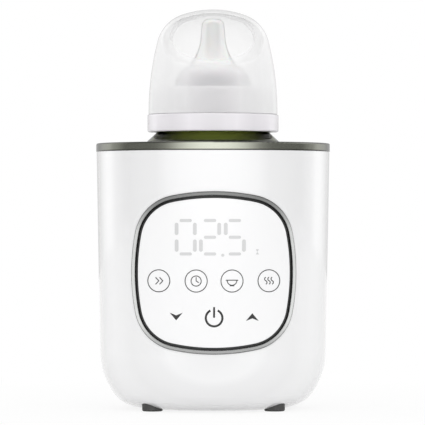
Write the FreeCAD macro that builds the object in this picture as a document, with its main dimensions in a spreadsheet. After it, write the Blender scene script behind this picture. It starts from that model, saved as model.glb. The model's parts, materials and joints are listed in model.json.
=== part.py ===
import FreeCAD, Part
import math
import os
import re
import Sketcher

# Bottle warmer with a feeding bottle standing in it. Millimetres, Z up, the front faces -Y,
# and the warmer stands on the plane Z = 0 with its axis on the Z axis.

SIZES = [
    # --- shell: a slightly tapered round body that rolls under in three tangent arcs
    ("body_top_height", 130.5),
    ("jacket_room", 12.8),
    ("side_taper", 1),
    ("sole_height", 0.6),
    ("side_arc", 36),
    ("bend_arc", 17.5),
    ("sole_arc", 20),
    ("side_turn", 36),
    ("bend_turn", 80),
    ("shell_wall", 2.5),
    ("seam_offset", 7.86),
    ("base_gap", 0.15),
    # --- shared clearances
    ("part_gap", 0.3),
    ("slip_gap", 0.1),
    ("screw_gap", 0.1),
    ("edge_soft", 0.4),
    # --- control panel and its frame
    ("panel_height", 69.85),
    ("frame_half_width", 41),
    ("frame_half_height", 40.2),
    ("frame_side_arc", 107),
    ("frame_corner_arc", 23),
    ("frame_width", 3.2),
    ("frame_step", 1.3),
    ("frame_proud", 0.5),
    ("frame_lip", 0.2),
    ("frame_groove", 0.45),
    ("groove_depth", 0.7),
    ("recess_depth", 2),
    ("recess_wall", 1.6),
    ("recess_margin", 2),
    # --- display behind the panel; drops and rises are measured from the panel's middle
    ("board_thick", 1.6),
    ("display_setback", 14.3),
    ("display_drop", 26.85),
    ("display_rise", 30.15),
    ("display_edge", 1.4),
    ("led_rise", 17.55),
    ("led_width", 36),
    ("led_tall", 22),
    ("led_deep", 7),
    ("digit_width", 9.4),
    ("digit_tall", 17.6),
    ("digit_pitch", 11.6),
    ("digit_sink", 0.6),
    ("key_row_drop", 4),
    ("key_inner", 8.85),
    ("set_row_drop", 21.95),
    ("set_key_side", 18.8),
    ("key_pad_radius", 2.4),
    ("display_post_rise", 25.75),
    ("display_post_drop", 15.35),
    ("display_post_radius", 2.6),
    # --- metal ring and funnel cover on top
    ("ring_overhang", 0.2),
    ("ring_height", 4.3),
    ("ring_sheet", 1.15),
    ("ring_lip", 2.6),
    ("cover_rise", 0.6),
    ("cover_skirt", 4),
    ("cover_skirt_wall", 2),
    ("mouth_drop", 2.3),
    ("mouth_lip", 2),
    ("mouth_step", 0.3),
    ("cover_seat_width", 7),
    ("cover_wall", 2.2),
    # --- water well
    ("water_gap", 5),
    ("well_wall", 1.2),
    ("well_floor_wall", 2),
    ("well_corner", 5),
    ("flange_width", 6.5),
    ("gasket_thick", 0.8),
    ("clamp_clear", 1.8),
    ("clamp_thick", 1.6),
    ("clamp_post_radius", 3),
    ("clamp_screw_radius", 1.2),
    ("clamp_screw_grip", 4.8),
    ("rib_height", 2),
    ("rib_width", 3),
    ("rib_inner", 9),
    ("rib_margin", 9),
    ("rib_count", 3),
    # --- heater stack under the well
    ("heater_margin", 8),
    ("heater_thick", 4),
    ("ptc_length", 26),
    ("ptc_width", 14.6),
    ("ptc_thick", 2.4),
    ("strap_length", 40),
    ("strap_width", 10),
    ("strap_thick", 0.8),
    ("strap_end", 4.4),
    ("strap_screw_radius", 1.1),
    ("cutout_clear", 1.6),
    ("cutout_radius", 6.6),
    ("cutout_height", 5),
    ("cutout_flange", 0.8),
    ("cutout_flange_radius", 7.4),
    ("fuse_clear", 4.8),
    ("fuse_radius", 1.9),
    ("fuse_length", 11),
    ("fuse_wire_radius", 0.5),
    ("fuse_wire_length", 4),
    ("sensor_inset", 9.5),
    ("sensor_radius", 2.2),
    ("sensor_foot", 4),
    ("sensor_foot_thick", 1.4),
    ("sensor_tail", 2.4),
    # --- base, feet and their screws
    ("foot_inset", 5.85),
    ("foot_turn", 42.5),
    ("post_radius", 4.2),
    ("post_height", 12),
    ("web_thick", 2),
    ("foot_radius", 5.2),
    ("foot_sink", 4.2),
    ("foot_edge", 0.8),
    ("foot_cup_wall", 1.5),
    ("tube_height", 7.2),
    ("base_screw_radius", 1.5),
    ("base_screw_head", 2.9),
    ("base_screw_head_tall", 2.2),
    ("base_screw_grip", 8),
    ("vent_width", 2),
    ("vent_length", 16),
    ("vent_pitch", 5),
    ("vent_count", 5),
    # --- power board
    ("component_room", 18.4),
    ("board_lift", 4.9),
    ("board_side_margin", 9.35),
    ("board_edge_margin", 1.8),
    ("board_screw_inset", 4),
    ("board_post_radius", 3),
    ("small_screw_radius", 1.2),
    ("small_head_radius", 2.3),
    ("small_head_tall", 1.5),
    ("small_screw_grip", 3),
    ("transformer_side", 19),
    ("transformer_length", 20),
    ("transformer_width", 16),
    ("transformer_tall", 12),
    ("core_length", 15),
    ("core_width", 20),
    ("core_low", 3),
    ("core_tall", 6),
    ("relay_side", 20),
    ("relay_back", 9),
    ("relay_length", 19),
    ("relay_width", 15),
    ("relay_tall", 11),
    ("can_radius", 4),
    ("can_tall", 11),
    ("can_pitch", 9),
    ("can_side", 2.5),
    ("can_edge", 8),
    ("terminal_side", 9),
    ("terminal_length", 20),
    ("terminal_width", 8),
    ("terminal_tall", 9),
    ("terminal_hole", 2.2),
    ("terminal_pitch", 6),
    # --- cord inlet at the back
    ("gland_rise", 5.65),
    ("gland_bore", 3.2),
    ("gland_tube", 4.5),
    ("gland_flange", 6.2),
    ("gland_flange_thick", 1.4),
    ("gland_barb", 5.2),
    ("gland_barb_thick", 1.6),
    ("gland_sink", 1.4),
    ("gland_pad", 7.6),
    ("gland_pad_wall", 3),
    # --- feeding bottle
    ("bottle_radius", 35),
    ("bottle_height", 123),
    ("bottle_wall", 2),
    ("bottle_bottom_edge", 5),
    ("neck_height", 18),
    ("shoulder_fall", 6.4),
    ("shoulder_step", 7),
    ("shoulder_round", 5),
    ("neck_round", 1.5),
    ("thread_gap", 0.3),
    ("collar_drop", 18.4),
    ("collar_skirt", 8.8),
    ("collar_plate", 2.2),
    ("collar_boss_wall", 2.1),
    ("collar_shelf", 3),
    ("collar_boss_round", 2),
    ("collar_lead", 1.5),
    ("collar_hole_step", 7.7),
    ("teat_flange_thick", 2),
    ("teat_trim", 0.2),
    ("teat_wall", 1.6),
    ("teat_dome_step", 1),
    ("teat_dome_rise", 2),
    ("teat_dome_arc", 12),
    ("teat_brow_turn", 55),
    ("teat_waist_radius", 12.3),
    ("teat_waist_rise", 11.3),
    ("teat_stem_radius", 6.2),
    ("teat_stem_length", 7.5),
    ("teat_end_radius", 5.4),
    ("teat_reach", 35.1),
    ("teat_tip_round", 3.4),
    ("tip_room", 2.95),
    ("cap_wall", 1.85),
    ("cap_grip_gap", 0.6),
    ("cap_skirt", 0.7),
    ("cap_bend_arc", 19),
    ("crown_turn", 70),
    ("cap_bend_turn", 14),
]

# Heights and radii that follow from the sizes above, such as where one arc of a rounded wall meets the next.
DERIVED = [
    ("well_radius", "bottle_radius + water_gap"),
    ("mouth_radius", "well_radius + mouth_step"),
    ("well_flange", "well_radius + flange_width"),
    ("clamp_inner", "well_radius + well_wall + clamp_clear"),
    ("clamp_outer", "well_flange + 2 * clamp_post_radius + part_gap"),
    ("clamp_post_side", "(well_flange + clamp_post_radius + part_gap) * sqrt(0.5)"),
    ("body_top_radius", "well_flange + jacket_room"),
    ("bend_low_height", "sole_height + sole_arc * (1 - sin(bend_turn))"),
    ("bend_high_height", "bend_low_height + bend_arc * (sin(bend_turn) - sin(side_turn))"),
    ("side_low_height", "bend_high_height + side_arc * (sin(side_turn) - sin(side_taper))"),
    ("side_low_radius", "body_top_radius - (body_top_height - side_low_height) * tan(side_taper)"),
    ("bend_high_radius", "side_low_radius - side_arc * (cos(side_taper) - cos(side_turn))"),
    ("bend_low_radius", "bend_high_radius - bend_arc * (cos(side_turn) - cos(bend_turn))"),
    ("sole_radius", "bend_low_radius - sole_arc * cos(bend_turn)"),
    ("base_radius", "bend_low_radius + seam_offset"),
    ("ring_radius", "body_top_radius + ring_overhang"),
    ("ring_top", "body_top_height + ring_height"),
    ("cover_top", "ring_top - ring_sheet"),
    ("ring_inner", "ring_radius - ring_sheet"),
    ("ring_mouth", "ring_radius - ring_lip"),
    ("mouth_height", "body_top_height - mouth_drop"),
    ("cover_seat", "mouth_height - mouth_lip"),
    ("well_flange_top", "cover_seat - gasket_thick"),
    ("well_flange_low", "well_flange_top - well_wall"),
    ("panel_back", "recess_depth - part_gap"),
    ("recess_back", "recess_depth + recess_wall"),
    ("display_front", "body_top_radius - display_setback"),
    ("display_inner_wall", "side_low_radius - recess_back"),
    ("display_reach", "sqrt(display_inner_wall ^ 2 - display_front ^ 2)"),
    ("display_half_width", "display_reach - slip_gap"),
    ("display_low", "panel_height - display_drop"),
    ("display_high", "panel_height + display_rise"),
    ("led_height", "panel_height + led_rise"),
    ("key_outer", "display_half_width - key_pad_radius - slip_gap"),
    ("key_row_height", "panel_height - key_row_drop"),
    ("set_row_height", "panel_height - set_row_drop"),
    ("display_post_side", "display_half_width - display_post_radius - display_edge"),
    ("display_post_high", "panel_height + display_post_rise"),
    ("display_post_low", "panel_height - display_post_drop"),
    ("foot_height", "sole_height + foot_sink"),
    ("foot_ring", "base_radius - foot_inset"),
    ("post_x", "foot_ring * cos(foot_turn)"),
    ("post_y", "foot_ring * sin(foot_turn)"),
    ("post_joint", "foot_height + tube_height"),
    ("post_top", "post_joint + post_height"),
    ("power_height", "sole_height + shell_wall + board_lift"),
    ("power_top", "power_height + board_thick"),
    ("power_length", "2 * (base_radius - board_side_margin)"),
    ("power_width", "2 * (post_y - post_radius - board_edge_margin)"),
    ("power_screw_x", "power_length / 2 - board_screw_inset"),
    ("power_screw_y", "power_width / 2 - board_screw_inset"),
    ("foot_cup_radius", "foot_radius + slip_gap + foot_cup_wall"),
    ("foot_cup_top", "power_height - part_gap"),
    ("heater_low", "power_top + component_room"),
    ("heater_top", "heater_low + heater_thick"),
    ("well_floor", "heater_top + well_floor_wall"),
    ("heater_radius", "well_radius - heater_margin"),
    ("strap_screw_side", "strap_length / 2 - strap_end"),
    ("cutout_side", "ptc_length / 2 + cutout_clear + cutout_flange_radius"),
    ("fuse_side", "ptc_length / 2 + fuse_clear + fuse_radius"),
    ("sensor_side", "strap_width / 2 + sensor_foot + slip_gap"),
    ("sensor_back", "heater_radius - sensor_inset"),
    ("rib_outer", "well_radius - rib_margin"),
    ("gland_height", "side_low_height + gland_rise"),
    ("gland_wall_radius", "body_top_radius - (body_top_height - gland_height) * tan(side_taper)"),
    ("gland_seat", "gland_wall_radius - gland_sink"),
    ("bottle_low", "well_floor + rib_height"),
    ("rim_height", "bottle_low + bottle_height"),
    ("neck_radius", "bottle_radius - shoulder_step"),
    ("shoulder_high", "rim_height - neck_height"),
    ("shoulder_low", "shoulder_high - shoulder_fall"),
    ("teat_seat", "rim_height + teat_flange_thick"),
    ("collar_top", "teat_seat + collar_plate"),
    ("collar_low", "rim_height - collar_drop"),
    ("collar_ledge", "collar_low + collar_skirt"),
    ("collar_bore", "neck_radius + thread_gap"),
    ("collar_boss", "collar_bore + collar_boss_wall"),
    ("collar_radius", "collar_boss + collar_shelf"),
    ("collar_hole", "neck_radius - collar_hole_step"),
    ("teat_flange", "neck_radius - teat_trim"),
    ("teat_root", "collar_hole - part_gap"),
    ("teat_dome_radius", "collar_hole - teat_dome_step"),
    ("teat_dome_height", "collar_top + teat_dome_rise"),
    ("teat_tip_height", "collar_top + teat_reach"),
    ("teat_stem_height", "teat_tip_height - teat_stem_length"),
    ("teat_waist_height", "collar_top + teat_waist_rise"),
    ("teat_flare_width", "teat_waist_radius - teat_stem_radius"),
    ("teat_flare_rise", "teat_stem_height - teat_waist_height"),
    ("teat_flare_arc", "(teat_flare_width ^ 2 + teat_flare_rise ^ 2) / (2 * teat_flare_width)"),
    ("cap_low", "collar_ledge + part_gap"),
    ("cap_top", "teat_tip_height + tip_room + cap_wall"),
    ("cap_radius", "collar_boss + cap_grip_gap + cap_wall"),
    ("cap_side_height", "cap_low + cap_skirt"),
    ("cap_bend_width", "cap_bend_arc * (cos(cap_bend_turn) - cos(crown_turn))"),
    ("cap_bend_rise", "cap_bend_arc * (sin(crown_turn) - sin(cap_bend_turn))"),
    ("cap_arcs_width", "cap_radius - cap_bend_width"),
    ("cap_arcs_rise", "cap_top - cap_side_height - cap_bend_rise"),
    ("cap_arcs_share", "cos(crown_turn) * sin(cap_bend_turn) - (1 - cos(cap_bend_turn)) * (1 - sin(crown_turn))"),
    ("crown_arc", "(cap_arcs_width * sin(cap_bend_turn) - cap_arcs_rise * (1 - cos(cap_bend_turn)))"
                  " / cap_arcs_share"),
    ("cap_side_arc", "(cap_arcs_rise * cos(crown_turn) - cap_arcs_width * (1 - sin(crown_turn))) / cap_arcs_share"),
    ("cap_bend_high_radius", "crown_arc * cos(crown_turn)"),
    ("cap_bend_high_height", "cap_top - crown_arc * (1 - sin(crown_turn))"),
    ("cap_bend_low_radius", "cap_bend_high_radius + cap_bend_width"),
    ("cap_bend_low_height", "cap_bend_high_height - cap_bend_rise"),
    ("body_depth", "body_top_radius + recess_margin"),
]

FULL_TURN = 360
QUARTER_TURN = 90

doc = FreeCAD.newDocument("bottle_warmer")
sheet = doc.addObject("Spreadsheet::Sheet", "Sizes")
NAME = re.compile(r"[a-z]+(?:_[a-z]+)+")


def fill_sheet():
    rows = [(name, str(size)) for name, size in SIZES]
    rows += [(name, "=" + rule) for name, rule in DERIVED]
    for row, (name, content) in enumerate(rows, start=1):
        sheet.set(f"A{row}", name)
        sheet.set(f"B{row}", content)
        sheet.setAlias(f"B{row}", name)
    doc.recompute()


def linked(rule):
    """The rule with every size name pointed at the sheet."""
    return NAME.sub(lambda found: "Sizes." + found.group(), str(rule))


def size_of(rule):
    return float(sheet.evalExpression(linked(rule)))


def bind(item, **rules):
    """Tie properties to the sheet: Radius="foot_radius", at_x="post_x" and so on."""
    for key, rule in rules.items():
        path = "Placement.Base." + key[-1] if key.startswith("at_") else key
        item.setExpression(path, linked(rule))
    return item


# ---------------------------------------------------------------- sketches

def part_body(label):
    body = doc.addObject("PartDesign::Body", label)
    body.Label = label
    return body


def origin_of(body, role):
    return [feature for feature in body.Origin.OriginFeatures if feature.Role == role][0]


def sketch_on(body, role, name):
    sketch = body.newObject("Sketcher::SketchObject", name)
    sketch.AttachmentSupport = (origin_of(body, role), [""])
    sketch.MapMode = "FlatFace"
    return sketch


def pin(sketch, geometry, end, rules):
    """Fix a point at a distance from the sketch origin, both ways tied to the sheet."""
    for kind, rule in zip(("DistanceX", "DistanceY"), rules):
        distance = size_of(rule)
        if abs(distance) < 1e-9:
            axis = -2 if kind == "DistanceX" else -1
            sketch.addConstraint(Sketcher.Constraint("PointOnObject", geometry, end, axis))
        elif distance > 0:
            made = sketch.addConstraint(Sketcher.Constraint(kind, -1, 1, geometry, end, distance))
            sketch.setExpression(f"Constraints[{made}]", linked(rule))
        else:
            made = sketch.addConstraint(Sketcher.Constraint(kind, geometry, end, -1, 1, -distance))
            sketch.setExpression(f"Constraints[{made}]", linked(f"-({rule})"))


def set_radius(sketch, geometry, rule):
    made = sketch.addConstraint(Sketcher.Constraint("Radius", geometry, size_of(rule)))
    sketch.setExpression(f"Constraints[{made}]", linked(rule))


def vector(point):
    return FreeCAD.Vector(point[0], point[1], 0)


def arc_between(first, last, radius):
    """Arc from first to last that bulges to the right of the way for a positive radius."""
    start, end = vector(first), vector(last)
    middle = (start + end) / 2
    way = end - start
    left = FreeCAD.Vector(-way.y, way.x, 0).normalize()
    rise = math.sqrt(max(radius * radius - (way.Length / 2) ** 2, 0))
    centre = middle + left * math.copysign(rise, radius)
    if radius < 0:
        start, end = end, start
    turn = [math.atan2(point.y - centre.y, point.x - centre.x) for point in (start, end)]
    circle = Part.Circle(centre, FreeCAD.Vector(0, 0, 1), abs(radius))
    return Part.ArcOfCircle(circle, turn[0], turn[1])


def rounded_corner(before, corner, after, radius):
    """Where a fillet of this radius leaves the two sides of a corner."""
    to_before = (vector(before) - vector(corner)).normalize()
    to_after = (vector(after) - vector(corner)).normalize()
    half = to_before.getAngle(to_after) / 2
    reach = radius / math.tan(half)
    enter = vector(corner) + to_before * reach
    leave = vector(corner) + to_after * reach
    side = 1 if to_before.cross(to_after).z < 0 else -1
    return (enter.x, enter.y), (leave.x, leave.y), side * radius


def draw(sketch, corners):
    """Closed outline from corners (x, y), (x, y, "round", r) or (x, y, "arc", r) to the next one."""
    spots = [(size_of(corner[0]), size_of(corner[1])) for corner in corners]
    kinds = [corner[2] if len(corner) > 2 else "" for corner in corners]
    count = len(corners)
    enters, leaves, rounds = {}, {}, {}
    for i in range(count):
        enters[i] = leaves[i] = spots[i]
        if kinds[i] == "round":
            made = rounded_corner(spots[i - 1], spots[i], spots[(i + 1) % count], size_of(corners[i][3]))
            enters[i], leaves[i], rounds[i] = made
    sides = []
    for i in range(count):
        follow = (i + 1) % count
        if kinds[i] == "arc":
            radius = size_of(corners[i][3])
            made = sketch.addGeometry(arc_between(spots[i], spots[follow], radius))
            set_radius(sketch, made, corners[i][3].lstrip("-"))
            sides.append((made, 1, 2) if radius > 0 else (made, 2, 1))
        else:
            made = sketch.addGeometry(Part.LineSegment(vector(leaves[i]), vector(enters[follow])))
            sides.append((made, 1, 2))
    for i in range(count):
        before, after = sides[i - 1], sides[i]
        if kinds[i] != "round":
            joint = Sketcher.Constraint("Coincident", before[0], before[2], after[0], after[1])
            sketch.addConstraint(joint)
            pin(sketch, after[0], after[1], corners[i][:2])
            continue
        turn = sketch.addGeometry(arc_between(enters[i], leaves[i], rounds[i]))
        ends = (1, 2) if rounds[i] > 0 else (2, 1)
        sketch.addConstraint(Sketcher.Constraint("Tangent", before[0], before[2], turn, ends[0]))
        sketch.addConstraint(Sketcher.Constraint("Tangent", after[0], after[1], turn, ends[1]))
        set_radius(sketch, turn, corners[i][3])
        peak = sketch.addGeometry(Part.Point(vector(spots[i])), True)
        sketch.addConstraint(Sketcher.Constraint("PointOnObject", peak, 1, before[0]))
        sketch.addConstraint(Sketcher.Constraint("PointOnObject", peak, 1, after[0]))
        pin(sketch, peak, 1, corners[i][:2])


def turned(label, corners):
    """Body of revolution about Z from an outline of (radius, height) corners."""
    body = part_body(label)
    sketch = sketch_on(body, "XZ_Plane", label + "_outline")
    draw(sketch, corners)
    spin = body.newObject("PartDesign::Revolution", label + "_turned")
    spin.Profile = sketch
    spin.ReferenceAxis = (sketch, ["V_Axis"])
    spin.Angle = FULL_TURN
    return body


def ring_array(body, feature, occurrences):
    """Repeat a feature of the body around Z."""
    pattern = body.newObject("PartDesign::PolarPattern", feature.Name + "_ring")
    pattern.Originals = [feature]
    pattern.Axis = (origin_of(body, "Z_Axis"), [""])
    pattern.Angle = FULL_TURN
    if isinstance(occurrences, str):
        bind(pattern, Occurrences=occurrences)
    else:
        pattern.Occurrences = occurrences
    body.Tip = pattern
    return pattern


# ---------------------------------------------------------------- solids

def turn_to(item, axis):
    """Stand a cylinder or cone along X, Y or Z."""
    spins = {"X": ((0, 1, 0), QUARTER_TURN), "Y": ((1, 0, 0), -QUARTER_TURN), "Z": ((0, 0, 1), 0)}
    direction, angle = spins[axis]
    item.Placement.Rotation = FreeCAD.Rotation(FreeCAD.Vector(*direction), angle)


def rod(label, radius, length, spot, axis="Z"):
    item = doc.addObject("Part::Cylinder", label)
    turn_to(item, axis)
    return bind(item, Radius=radius, Height=length, at_x=spot[0], at_y=spot[1], at_z=spot[2])


def block(label, length, width, height, spot):
    """Box centred on x and y of the spot, standing on its z."""
    item = doc.addObject("Part::Box", label)
    x = f"({spot[0]}) - ({length}) / 2"
    y = f"({spot[1]}) - ({width}) / 2"
    return bind(item, Length=length, Width=width, Height=height, at_x=x, at_y=y, at_z=spot[2])


def cut(label, base, tool):
    item = doc.addObject("Part::Cut", label)
    item.Base = base
    item.Tool = tool
    return item


def fuse(label, *items):
    item = doc.addObject("Part::MultiFuse", label)
    item.Shapes = list(items)
    return item


def common(label, first, second):
    item = doc.addObject("Part::Common", label)
    item.Base = first
    item.Tool = second
    return item


def together(label, *items):
    """Several loose solids in one sub-part."""
    item = doc.addObject("Part::Compound", label)
    item.Links = list(items)
    return item


def mirrored(item, normal):
    twin = doc.addObject("Part::Mirroring", f"{item.Name}_twin")
    twin.Source = item
    twin.Normal = FreeCAD.Vector(*normal)
    return twin


def pair_x(item):
    return together(item.Name + "_pair", item, mirrored(item, (1, 0, 0)))


def four(item):
    """The item at +x +y and its three mirror images."""
    pair = pair_x(item)
    return together(item.Name + "_four", pair, mirrored(pair, (0, 1, 0)))


def name_part(item, label):
    item.Label = label
    return item


fill_sheet()


# ---------------------------------------------------------------- body form

def body_form(label, inset):
    """The round outside of the warmer, every wall moved inwards by the inset."""
    top = (f"body_top_radius - ({inset}) / cos(side_taper)", "body_top_height")

    def moved(radius, height, turn):
        return (f"{radius} - ({inset}) * cos({turn})", f"{height} + ({inset}) * sin({turn})")

    return turned(label, [
        ("0", f"sole_height + ({inset})"),
        ("sole_radius", f"sole_height + ({inset})", "arc", f"sole_arc - ({inset})"),
        moved("bend_low_radius", "bend_low_height", "bend_turn") + ("arc", f"bend_arc - ({inset})"),
        moved("bend_high_radius", "bend_high_height", "side_turn") + ("arc", f"side_arc - ({inset})"),
        moved("side_low_radius", "side_low_height", "side_taper"),
        top,
        ("0", "body_top_height"),
    ])


def squircle(label, inset):
    """Prism with the rounded-square outline of the frame, moved inwards, running out to the front."""
    body = part_body(label)
    sketch = sketch_on(body, "XZ_Plane", label + "_outline")
    side = size_of(f"frame_side_arc - ({inset})")
    corner = size_of(f"frame_corner_arc - ({inset})")
    reach_x = size_of("frame_side_arc - frame_half_width")
    reach_y = size_of("frame_side_arc - frame_half_height")
    swing = side - corner
    lean = reach_y / reach_x
    offset = (reach_x ** 2 + reach_y ** 2) / (2 * reach_x)
    slope = 1 + lean ** 2
    corner_y = (math.sqrt((offset * lean) ** 2 - slope * (offset ** 2 - swing ** 2)) - offset * lean) / slope
    corner_x = offset + lean * corner_y - reach_x
    flat = math.atan2(corner_y, corner_x + reach_x)
    steep = math.atan2(corner_y + reach_y, corner_x)
    half = math.pi / 2
    arcs = []
    for quarter in range(4):
        turn = quarter * half
        even = quarter % 2 == 0
        reach = reach_x if even else reach_y
        width = flat if even else half - steep
        centre = FreeCAD.Vector(-reach * math.cos(turn), -reach * math.sin(turn), 0)
        circle = Part.Circle(centre, FreeCAD.Vector(0, 0, 1), side)
        arcs.append(sketch.addGeometry(Part.ArcOfCircle(circle, turn - width, turn + width)))
        sign_x = 1 if quarter in (0, 3) else -1
        sign_y = 1 if quarter in (0, 1) else -1
        centre = FreeCAD.Vector(sign_x * corner_x, sign_y * corner_y, 0)
        first = turn + (flat if even else half - steep)
        last = turn + half - (half - steep if even else flat)
        circle = Part.Circle(centre, FreeCAD.Vector(0, 0, 1), corner)
        arcs.append(sketch.addGeometry(Part.ArcOfCircle(circle, first, last)))
    for i, arc in enumerate(arcs):
        sketch.addConstraint(Sketcher.Constraint("Tangent", arc, 2, arcs[(i + 1) % len(arcs)], 1))
    set_radius(sketch, arcs[0], f"frame_side_arc - ({inset})")
    set_radius(sketch, arcs[1], f"frame_corner_arc - ({inset})")
    for quarter in (1, 2, 3):
        sketch.addConstraint(Sketcher.Constraint("Equal", arcs[0], arcs[2 * quarter]))
        sketch.addConstraint(Sketcher.Constraint("Equal", arcs[1], arcs[2 * quarter + 1]))
    spots = [("frame_half_width - frame_side_arc", "0"), ("0", "frame_half_height - frame_side_arc")]
    spots += [("frame_side_arc - frame_half_width", "0"), ("0", "frame_side_arc - frame_half_height")]
    for quarter, spot in enumerate(spots):
        pin(sketch, arcs[2 * quarter], 3, spot)
    pad = body.newObject("PartDesign::Pad", label + "_out")
    pad.Profile = sketch
    bind(pad, Length="body_depth")
    return bind(body, at_z="panel_height")


form_outside = body_form("form_outside", "0")
form_inside = body_form("form_inside", "shell_wall")
form_recess = body_form("form_recess", "recess_depth")
form_recess_back = body_form("form_recess_back", "recess_back")
form_panel_back = body_form("form_panel_back", "panel_back")
hollow_body = cut("hollow_body", form_outside, form_inside)


# ---------------------------------------------------------------- display parts

def front_rods(label, radius, start, length, spots):
    """Rods along Y at (x, z) spots, starting at this depth and running to the front."""
    rods = []
    for number, (x, z) in enumerate(spots):
        rods.append(rod(f"{label}_{number}", radius, length, (x, f"-({start}) - ({length})", z), "Y"))
    return fuse(label, *rods)


def key_spots():
    row = [(f"{sign}{side}", "key_row_height") for side in ("key_outer", "key_inner") for sign in ("-", "")]
    return row + [("-set_key_side", "set_row_height"), ("0", "set_row_height"), ("set_key_side", "set_row_height")]


def post_spots():
    return [(f"{sign}display_post_side", high)
            for high in ("display_post_low", "display_post_high") for sign in ("-", "")]


def make_display_board():
    board = block("display_board_blank", "2 * display_half_width", "board_thick",
                  "display_high - display_low",
                  ("0", "board_thick / 2 - display_front", "display_low"))
    holes = front_rods("display_board_holes", "small_screw_radius + screw_gap", "display_front - 2 * board_thick",
                       "3 * board_thick", post_spots())
    return name_part(cut("display_board_drilled", board, holes), "display_board")


def make_led_display():
    body = part_body("led_display")
    sketch = sketch_on(body, "XZ_Plane", "led_outline")
    half, low, high = "led_width / 2", "led_height - led_tall / 2", "led_height + led_tall / 2"
    draw(sketch, [(f"-{half}", low), (half, low), (half, high), (f"-{half}", high)])
    pad = body.newObject("PartDesign::Pad", "led_case")
    pad.Profile = sketch
    bind(pad, Length="led_deep")
    windows = sketch_on(body, "XZ_Plane", "led_windows")
    bind(windows, **{"AttachmentOffset.Base.z": "led_deep"})
    low, high = "led_height - digit_tall / 2", "led_height + digit_tall / 2"
    for middle in ("-digit_pitch", "0", "digit_pitch"):
        left, right = f"{middle} - digit_width / 2", f"{middle} + digit_width / 2"
        draw(windows, [(left, low), (right, low), (right, high), (left, high)])
    pocket = body.newObject("PartDesign::Pocket", "led_digit_windows")
    pocket.Profile = windows
    bind(pocket, Length="digit_sink")
    return bind(body, at_y="-display_front")


def make_touch_pads():
    rods = front_rods("touch_pad_rods", "key_pad_radius", "display_front", "body_top_radius - display_front",
                      key_spots())
    return name_part(common("touch_pads_cut", rods, form_recess), "touch_pads")


def make_display_screws():
    screws = []
    for number, (x, z) in enumerate(post_spots()):
        back = "board_thick - display_front"
        head = rod(f"display_screw_head_{number}", "small_head_radius", "small_head_tall", (x, back, z), "Y")
        start = f"{back} - board_thick - small_screw_grip"
        shank = rod(f"display_screw_shank_{number}", "small_screw_radius",
                    "board_thick + small_screw_grip", (x, start, z), "Y")
        screws.append(fuse(f"display_screw_{number}", head, shank))
    return name_part(together("display_screw_set", *screws), "display_screws")


# ---------------------------------------------------------------- shell

def make_outer_shell():
    frame_hole = squircle("recess_prism", "-slip_gap")
    thick_prism = squircle("recess_pad_prism", "-recess_margin")
    pad = common("recess_pad", thick_prism, cut("recess_pad_shell", form_outside, form_recess_back))
    posts_blank = front_rods("display_posts_blank", "display_post_radius", "display_front",
                             "body_top_radius - display_front", post_spots())
    posts = common("display_posts", posts_blank, form_inside)
    screw_post = rod("shell_post", "post_radius", "post_top - post_joint", ("post_x", "post_y", "post_joint"))
    web_length = "body_top_radius - post_x"
    web = block("shell_web", web_length, "web_thick", "post_top - post_joint - web_thick",
                (f"post_x + ({web_length}) / 2", "post_y", "post_joint + web_thick"))
    webbed = common("shell_post_webbed", fuse("shell_post_and_web", screw_post, web), form_panel_back)
    gland_y = "gland_seat - gland_pad_wall"
    gland_pad = common("gland_pad_trimmed", rod("gland_pad_rod", "gland_pad", "body_top_radius - gland_seat "
                       "+ gland_pad_wall", ("0", gland_y, "gland_height"), "Y"), form_outside)
    solid = fuse("shell_with_posts", hollow_body, pad, posts, four(webbed), gland_pad)
    recess = cut("recess_space", frame_hole, form_recess)
    opening = rod("base_opening", "base_radius + base_gap", "post_joint", ("0", "0", "0"))
    led_hole = block("led_hole", "led_width + 2 * part_gap", "body_top_radius", "led_tall + 2 * part_gap",
                     ("0", "-body_top_radius / 2 - display_front + led_deep / 2",
                      "led_height - led_tall / 2 - part_gap"))
    key_holes = front_rods("key_holes", "key_pad_radius + part_gap", "display_front",
                           "body_top_radius - display_front", key_spots())
    pilot_depth = "small_screw_grip + small_screw_radius"
    pilots = front_rods("display_pilots", "small_screw_radius + screw_gap", "display_front", pilot_depth,
                        post_spots())
    post_hole = rod("shell_post_hole", "base_screw_radius + screw_gap", "base_screw_grip + web_thick",
                    ("post_x", "post_y", "post_joint"))
    gland_seat = rod("gland_seat_hole", "gland_flange + slip_gap", "body_top_radius - gland_seat",
                     ("0", "gland_seat", "gland_height"), "Y")
    gland_hole = rod("gland_hole", "gland_tube + slip_gap", "body_top_radius - gland_seat + gland_pad",
                     ("0", "gland_seat - gland_pad", "gland_height"), "Y")
    spaces = fuse("shell_spaces", recess, opening, led_hole, key_holes, pilots, four(post_hole),
                  gland_seat, gland_hole)
    return name_part(cut("shell_done", solid, spaces), "outer_shell")


def make_control_panel():
    prism = squircle("panel_prism", "frame_width + slip_gap")
    skin = cut("panel_skin", form_outside, form_panel_back)
    return name_part(common("panel_cut", prism, skin), "control_panel")


def make_panel_trim():
    proud = body_form("trim_outside", "-frame_proud")
    low = body_form("trim_step", "frame_lip")
    outer = squircle("trim_prism", "0")
    step = squircle("trim_step_prism", "frame_width - frame_step")
    inner = squircle("trim_inner_prism", "frame_width")
    ring = common("trim_ring", cut("trim_frame", outer, inner), cut("trim_skin", proud, form_panel_back))
    bead = squircle("trim_bead_prism", "frame_width - frame_step + frame_groove")
    groove_floor = body_form("trim_groove_floor", "frame_lip + groove_depth")
    groove = cut("trim_groove", cut("trim_groove_ring", step, bead), groove_floor)
    spaces = fuse("trim_spaces", cut("trim_step_space", step, low), groove)
    stepped = cut("trim_stepped", ring, spaces)
    return name_part(stepped, "panel_trim")


# ---------------------------------------------------------------- top

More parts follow.
